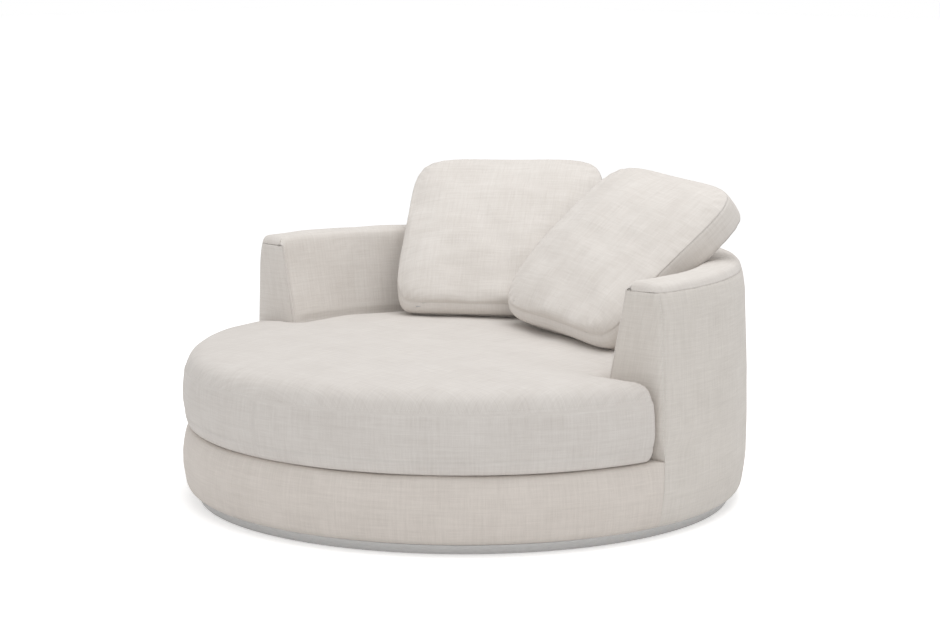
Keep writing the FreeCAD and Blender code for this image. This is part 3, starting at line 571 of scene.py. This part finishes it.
BELOW_SEAM = np.array([0, 0, -.0062])
stitches("outside_top_stitch", out_pts[-1] + BELOW_SEAM, out_n[-1], "chair")
stitches("inside_top_stitch", in_pts[0] + in_n[0] * .0012 + BELOW_SEAM, in_n[0], "chair")
for col, side in ((3, "right"), (-4, "left")):
    row, way = out_pts[:-2, col], out_n[:-2, col]
    stitches(side + "_side_stitch", row + way * .0002, way, "chair")
for side, (p, n) in fronts.items():
    stitches(side + "_front_stitch", p[:, -3] + n[:, -3] * .0002, n[:, -3], "chair")
    row, way = p[-3, 1:-1], n[-3, 1:-1]
    stitches(side + "_front_top_stitch", row + way * .0003, way, "chair")

# Seat platform under the cushion

def make_deck():
    lo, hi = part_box("seat_deck")
    r_back, r_front = .517, .637
    profile = ((.02, lo.z + .0008), (.5, lo.z + .0008), (.985, lo.z + .0008), (1, lo.z + .004),
               (1, hi.z - .004), (.985, hi.z - .0006), (.5, hi.z - .0006), (.02, hi.z - .0006))
    edge = []
    for a in np.linspace(0, 2 * math.pi, 181)[:-1]:
        x, y = math.cos(a), math.sin(a)
        r = r_back if y * .60 > face_y(.60) else r_front
        if r > .6 and y * r > face_y(x * r) - .001:
            r = min(r_front, abs(face_y(x * r) / min(y, -1e-3)))
            r = max(r, r_back)
        edge.append((x * r, y * r))
    edge = np.array(edge)
    pts = np.array([np.column_stack([edge * f, np.full(len(edge), z)]) for f, z in profile])
    o = grid("seat_platform", pts, pts[..., :2])
    normals_out(o)
    dress(o, DECK, "chair", ["seat_deck"])


make_deck()

# Seat cushion

CUSHION_R = .7205
CUSHION_CORNER = .034
CUSHION_EDGE = .3335     # height of the seam between border and top
CUSHION_TOP = .4053
CREASE = .2262           # height of the lower seam round the border
# Height and how far the border draws in there, from the underside to the seam with the top
BORDER = [(.1918, .030), (.1920, .020), (.1960, .0135), (.2050, .0085), (.2160, .0055),
          (.2235, .0046), (.2262, .0056), (.2290, .0045), (.2400, .0020), (.2560, 0),
          (.2700, -.0003), (.2860, .0002), (.3000, .0012), (.3150, .0030), (.3260, .0042),
          (.3310, .0050), (CUSHION_EDGE, .0064)]
# Distance in from the edge and height of the top there
CROWN = [(0, CUSHION_EDGE), (.004, .3440), (.0095, .3610), (.018, .3730), (.034, .3838),
         (.060, .3900), (.110, .3945), (.180, .3985), (.260, .4020), (.340, .4045),
         (.5, CUSHION_TOP)]


def rear_r(z):
    """Radius of the cushion's rear border, which draws in over the zip."""
    return float(np.interp(z, [.1918, .2263, .2833, .3333],
                           [.5190, .5122, .5122, inner_r(.333) - .0022]))


def cushion_plan(z):
    """The cushion's plan line at a height, from the front's middle all the way round."""
    r, c = CUSHION_R, CUSHION_CORNER
    t = math.atan(FACE_SLOPE)
    ex, ey = np.array([math.cos(t), math.sin(t)]), np.array([-math.sin(t), math.cos(t)])
    cy = (FACE_Y - FACE_SLOPE * FACE_X) * math.cos(t) - SEAT_GAP - c
    centre = ex * math.sqrt((r - c)**2 - cy**2) + ey * cy
    a1 = math.atan2(centre[1], centre[0])
    a2 = math.atan2(ey[1], ey[0])
    front = [(r * math.cos(a), r * math.sin(a)) for a in np.linspace(-math.pi / 2, a1, 90)]
    arc = [tuple(centre + c * np.array([math.cos(a), math.sin(a)]))
           for a in np.linspace(a1, a2, 16)[1:]]
    last = centre + c * ey
    r_in = rear_r(z)
    x = face_meets(r_in, SEAT_GAP)
    corner = np.array([x, face_y(x) - SEAT_GAP])
    flat = [tuple(last + (corner - last) * k) for k in np.linspace(0, 1, 14)[1:]]
    a0 = math.atan2(corner[1], corner[0])
    rear = [(r_in * math.cos(a), r_in * math.sin(a))
            for a in np.linspace(a0, math.pi / 2, 110)[1:]]
    half = np.array(front + arc + flat + rear)
    return np.concatenate([half, mirror_x(half)[::-1][1:-1]])


def edge_distance(p, edge):
    """Distance to the cushion's edge, counted as more beside the wall, where the top is fuller."""
    closed = np.vstack([edge, edge[:1]])
    a, b = closed[:-1], closed[1:]
    walled = (np.linalg.norm(a, axis=1) < .60) & (a[:, 1] > -.07)
    beside_left_arm = (a[:, 0] < 0) & (a[:, 1] > -.10)
    share = np.maximum(walled * np.clip((a[:, 1] + .07) / .16, 0, 1),
                       beside_left_arm * np.clip((.70 + a[:, 0]) / .14, 0, 1))
    ap, ab = p[:, None] - a[None], (b - a)[None]
    t = np.clip((ap * ab).sum(-1) / (ab**2).sum(-1), 0, 1)
    return (np.linalg.norm(ap - ab * t[..., None], axis=-1) * (1 + 2.4 * smooth(share))).min(1)


def make_cushion():
    plan = cushion_plan(.3333)
    count = len(plan)
    out = outward(plan)
    is_front = np.clip((np.linalg.norm(plan, axis=1) - .60) / .06, 0, 1)
    for _ in range(12):
        is_front = (np.roll(is_front, 1) + is_front * 2 + np.roll(is_front, -1)) / 4
    is_front = is_front > .5
    around = arc_length(np.vstack([plan, plan[:1]]))[:-1]
    rows, uvs = [], []
    for z, inset in BORDER:
        p = cushion_plan(z) - out * np.where(is_front, inset, 0)[:, None]
        rows.append(np.column_stack([p, np.full(count, z)]))
        uvs.append(np.column_stack([around, np.full(count, z)]))
    side_rows = len(rows)
    edge = rows[-1][:, :2]
    middle = np.array([0, -.28])
    for f in 1 - np.concatenate([[.004, .009, .015, .022, .031, .043, .058, .077, .1, .13, .165],
                                 np.linspace(.2, .985, 38)]):
        p = middle + (edge - middle) * f
        rows.append(np.column_stack([p, np.interp(edge_distance(p, edge), *zip(*CROWN))]))
        uvs.append(p + np.array([3.0, 3.0]))
    pts = np.array(rows)
    z = pts[..., 2]
    on_top = (np.arange(len(rows)) >= side_rows)[:, None]
    flat = on_top * np.clip((z - .345) / .03, 0, 1)
    bumpy = (.0016 * noise3(pts, .50, 41) + .0007 * noise3(pts, .16, 42)) * flat
    pts[..., 2] += np.minimum(bumpy, .0025) - .0010 * flat
    waist = ridge(z - .28, .035) * (1 - on_top) * np.where(is_front, 1, .2)
    bow = (.0014 * noise3(pts, .20, 43) + .0008 * noise3(pts, .07, 44)) * waist
    pleat = np.sin(around / .019 * 2 * math.pi + 4 * noise3(pts[0], .09, 45)) * is_front
    pleat = .0007 * pleat * (ridge(z - CUSHION_EDGE, .010) + .6 * ridge(z - CREASE, .010))
    out3 = np.concatenate([out, np.zeros((count, 1))], 1)
    pts += out3[None] * (bow + pleat)[..., None]
    o = grid("seat_cushion", pts, np.array(uvs))
    normals_out(o)
    dress(o, SHADED_SEAT_CLOTH, "seat_cushion", ["seat_cushion_cover", "seat_cushion_core"])
    row = np.where(is_front)[0]
    first = np.where(np.diff(row) > 1)[0][0] + 1
    row = np.concatenate([row[first:], row[:first]])
    stitches("cushion_top_stitch", pts[side_rows + 1][row] + out3[row] * .0005,
             out3[row] + np.array([0, 0, .6]), "seat_cushion")


make_cushion()

# Scatter cushions, made in their own frame: X across, Y through, Z up

SCATTER_W, SCATTER_H, GUSSET, SCATTER_T = .550, .525, .066, .140
SAG = .034               # the most that a cushion's lower edge gives way
# Middle, turn about Z, lean back and roll in degrees
PLACES = {
    "left": ((-.2424, .4110, .6058), 30.6, 48.6, -1.8),
    "right": ((.2520, .3130, .6167), -11.8, 49.1, 8.0),
}
# How far the top left, top right, bottom left and bottom right corners are pulled across and up
CORNER_PULL = {
    "left": ((0, .004), (-.004, 0), (0, 0), (0, 0)),
    "right": ((-.004, -.024), (.014, .004), (-.004, 0), (0, 0)),
}
# The gusset from its back seam to its front one, in half widths, and how far it draws in
GUSSET_ROWS = [(-1, .0030), (-.93, .0006), (-.8, -.0004), (-.55, -.0014), (-.2, -.0019),
               (.2, -.0019), (.55, -.0014), (.8, -.0004), (.93, .0006), (1, .0030)]


def scatter_outline(count):
    """A rounded square whose sides draw in between the corners."""
    t = np.linspace(0, 2 * math.pi, count, endpoint=False)
    e = 2 / 5.2
    x = np.sign(np.cos(t)) * np.abs(np.cos(t))**e
    z = np.sign(np.sin(t)) * np.abs(np.sin(t))**e
    p = np.stack([x * SCATTER_W / 2, z * SCATTER_H / 2], -1) * 1.008
    dense = np.vstack([p, p[:1]])
    s = arc_length(dense)
    u = np.linspace(0, s[-1], count, endpoint=False)
    p = np.stack([np.interp(u, s, dense[:, 0]), np.interp(u, s, dense[:, 1])], -1)
    kx, kz = p[:, 0] / (SCATTER_W / 2), p[:, 1] / (SCATTER_H / 2)
    draw = np.where(np.abs(kx) > np.abs(kz), 1 - kz**2, 1 - kx**2)
    return p * (1 - .034 * draw)[:, None], u


def pulled(p, side):
    """The outline with its corners pulled about."""
    x, z = p[:, 0] / SCATTER_W + .5, p[:, 1] / SCATTER_H + .5
    out = p.copy()
    for share, move in zip(((1 - x) * z, x * z, (1 - x) * (1 - z), x * (1 - z)),
                           CORNER_PULL[side]):
        out += share[:, None]**1.5 * np.array(move)
    return out


def seat_height(x, y):
    """Height of the seat under the scatter cushions, falling off towards the wall."""
    return CUSHION_TOP - .0115 * np.clip((np.hypot(x, y) - .28) / .31, 0, 2)


def settle(o, m):
    """Lets the cushion's lower edge sag until it rests on the seat along its whole width."""
    co = np.zeros(len(o.data.vertices) * 3)
    o.data.vertices.foreach_get("co", co)
    co = co.reshape(-1, 3)
    inv = np.array(m.inverted())
    local = co @ inv[:3, :3].T + inv[:3, 3]
    hang = co[:, 2] - seat_height(co[:, 0], co[:, 1])
    strips = 22
    bins = np.linspace(-SCATTER_W / 2, SCATTER_W / 2, strips + 1)
    strip = np.clip(np.digitize(local[:, 0], bins) - 1, 0, strips - 1)
    least = np.array([hang[strip == b].min() if (strip == b).any() else .5
                      for b in range(strips)])
    least = np.clip(least - .0015, 0, SAG)
    for _ in range(6):
        inner = (least[:-2] + 2 * least[1:-1] + least[2:]) / 4
        least = np.concatenate([least[:1], inner, least[-1:]])
    drop = np.interp(local[:, 0], (bins[:-1] + bins[1:]) / 2, least)
    w = np.clip((-local[:, 2] - .02) / (SCATTER_H / 2 - .05), 0, 1)
    co[:, 2] -= drop * smooth(w)
    rest = seat_height(co[:, 0], co[:, 1]) + .0012
    co[:, 2] = np.maximum(co[:, 2], np.where(w > .6, rest, -1))
    o.data.vertices.foreach_set("co", co.ravel())
    o.data.update()


def make_scatter(side, seed):
    count = 320
    p, u = scatter_outline(count)
    low = smooth(np.clip((-p[:, 1] / (SCATTER_H / 2) - .55) / .4, 0, 1))
    p = pulled(p, side)
    out = outward(p)
    half_e = GUSSET / 2
    fr = 1 - np.concatenate([[.006, .014, .024, .037, .053, .072], np.linspace(.095, .985, 34)])

    def face_row(f, way):
        """One ring of a face, softened where it turns under at the lower edge."""
        near = low * math.exp(-(1 - f) / .045)
        q = p * f - out * (.013 * near)[:, None]
        dome = (1 - (1 - min((1 - f) / .78, 1))**2.2)**.80
        y = half_e * (1 - .30 * near) + (SCATTER_T / 2 - half_e) * dome
        return np.column_stack([q[:, 0], way * y, q[:, 1]])

    rows = [face_row(f, 1) for f in fr[::-1]]
    uvs = [p * f + (seed, seed) for f in fr[::-1]]
    for k, inset in GUSSET_ROWS[::-1]:
        q = p - out * (inset * (1 - low) + .013 * low * k * k)[:, None]
        rows.append(np.column_stack([q[:, 0], half_e * k * (1 - .30 * low), q[:, 1]]))
        uvs.append(np.column_stack([u + seed, np.full(count, half_e * k)]))
    rows += [face_row(f, -1) for f in fr]
    uvs += [p * f + (seed * 2, seed) for f in fr]
    pts = np.array(rows)
    between = len(GUSSET_ROWS)
    to_seam = 1 - np.concatenate([fr[::-1], np.ones(between), fr])
    way = np.concatenate([np.ones(len(fr)), np.zeros(between), -np.ones(len(fr))])[:, None]
    lump = .0040 * noise3(pts, .30, seed * 3 + 1) + .0018 * noise3(pts, .11, seed * 3 + 2)
    lump *= np.clip(to_seam / .06, 0, 1)[:, None]
    ang = np.arctan2(p[:, 1] / SCATTER_H, p[:, 0] / SCATTER_W)
    corner = ridge((np.abs(ang) % (math.pi / 2)) - math.pi / 4, .14)[None]
    wave = .0016 * np.sin(u / .031 * 2 * math.pi + 2 * noise3(pts[0], .1, seed + 50))[None]
    pts[..., 1] += way * (lump + wave * ridge(to_seam - .05, .06)[:, None] * (.25 + corner))
    pts[..., 1] = np.clip(pts[..., 1], -SCATTER_T / 2 - .001, SCATTER_T / 2 + .001)
    o = grid(side + "_scatter", pts, np.array(uvs))
    normals_out(o)
    c, yaw, lean, roll = PLACES[side]
    m = (Matrix.Translation(c) @ Matrix.Rotation(math.radians(yaw), 4, "Z")
         @ Matrix.Rotation(math.radians(-lean), 4, "X")
         @ Matrix.Rotation(math.radians(roll), 4, "Y"))
    o.data.transform(m)
    settle(o, m)
    dress(o, CLOTH, side + "_scatter",
          [side + "_scatter_cover", side + "_scatter_insert"])
    turn, shift = np.array(m)[:3, :3].T, np.array(m)[:3, 3]
    first = int(np.argmin(p[:, 1] + .3 * np.abs(p[:, 0])))
    shown = np.roll(np.arange(count), -first)
    shown = shown[low[shown] < .02]
    for edge, row, y in (("front", len(fr) + between + 1, -1.0), ("back", len(fr) - 2, 1.0)):
        line = (pts[row] @ turn + shift)[shown]
        n = np.column_stack([out[:, 0] * .5, np.full(count, y), out[:, 1] * .5]) @ turn
        stitches(f"{side}_{edge}_edge_stitch", line, n[shown], side + "_scatter")


make_scatter("left", 5)
make_scatter("right", 9)

# Floor, light and camera

def seen_directly(nodes, links):
    """A mix whose second shader is what the camera sees, itself or in a reflection."""
    ray = nodes.new("ShaderNodeLightPath")
    either = nodes.new("ShaderNodeMath")
    either.operation = "MAXIMUM"
    links.new(ray.outputs["Is Camera Ray"], either.inputs[0])
    links.new(ray.outputs["Is Glossy Ray"], either.inputs[1])
    mix = nodes.new("ShaderNodeMixShader")
    links.new(either.outputs[0], mix.inputs[0])
    return mix


def make_floor():
    me = bpy.data.meshes.new("floor")
    corners = [(-30, -30, 0), (30, -30, 0), (30, 30, 0), (-30, 30, 0)]
    me.from_pydata(corners, [], [(0, 1, 2, 3)])
    floor = bpy.data.objects.new("floor", me)
    SCENE.collection.objects.link(floor)
    mat, nodes, links, shader = principled("pale_floor")
    shader.inputs["Base Color"].default_value = (.93, .93, .93, 1)
    shader.inputs["Roughness"].default_value = .9
    shader.inputs["Specular IOR Level"].default_value = .1
    glow = nodes.new("ShaderNodeEmission")
    glow.inputs["Color"].default_value = (1, 1, 1, 1)
    glow.inputs["Strength"].default_value = .42
    dark = nodes.new("ShaderNodeEmission")
    dark.inputs["Strength"].default_value = 0
    pick = seen_directly(nodes, links)
    links.new(dark.outputs[0], pick.inputs[1])
    links.new(glow.outputs[0], pick.inputs[2])
    both = nodes.new("ShaderNodeAddShader")
    links.new(shader.outputs[0], both.inputs[0])
    links.new(pick.outputs[0], both.inputs[1])
    links.new(both.outputs[0], nodes["Material Output"].inputs[0])
    me.materials.append(mat)


def make_world():
    world = bpy.data.worlds.new("studio")
    SCENE.world = world
    world.use_nodes = True
    nodes, links = world.node_tree.nodes, world.node_tree.links
    back = nodes["Background"]
    back.inputs["Color"].default_value = (1, 1, 1, 1)
    back.inputs["Strength"].default_value = .65
    white = nodes.new("ShaderNodeBackground")
    white.inputs["Color"].default_value = (1, 1, 1, 1)
    pick = seen_directly(nodes, links)
    links.new(back.outputs[0], pick.inputs[1])
    links.new(white.outputs[0], pick.inputs[2])
    links.new(pick.outputs[0], nodes["World Output"].inputs[0])


def area(name, place, target, size, watts):
    """A soft window of light that faces its target."""
    light = bpy.data.lights.new(name, "AREA")
    light.shape = "RECTANGLE"
    light.size, light.size_y = size
    light.energy = watts
    o = bpy.data.objects.new(name, light)
    o.location = place
    o.rotation_euler = (Vector(target) - Vector(place)).to_track_quat("-Z", "Y").to_euler()
    SCENE.collection.objects.link(o)


make_floor()
make_world()
area("overhead", (.5, .2, 3.8), (0, 0, .3), (3.4, 3.4), 68)
area("window", (3.4, -2.6, 1.9), (0, 0, .4), (2.6, 2.2), 12)
area("far_window", (-2.6, -3.2, 1.6), (-.2, .4, .4), (2.2, 2.0), 8)

CAM_PLACE = (4.317, -4.565, 1.433)
CAM_TARGET = (0, 0, .36)
cam_data = bpy.data.cameras.new("camera")
cam = bpy.data.objects.new("camera", cam_data)
SCENE.collection.objects.link(cam)
cam.location = CAM_PLACE
aim = Vector(CAM_TARGET) - Vector(CAM_PLACE)
cam.rotation_euler = aim.to_track_quat("-Z", "Y").to_euler()
cam_data.sensor_width = 36
cam_data.lens = 94.8
cam_data.shift_x = .0066
cam_data.shift_y = .0414
SCENE.camera = cam
SCENE.view_settings.view_transform = "Standard"
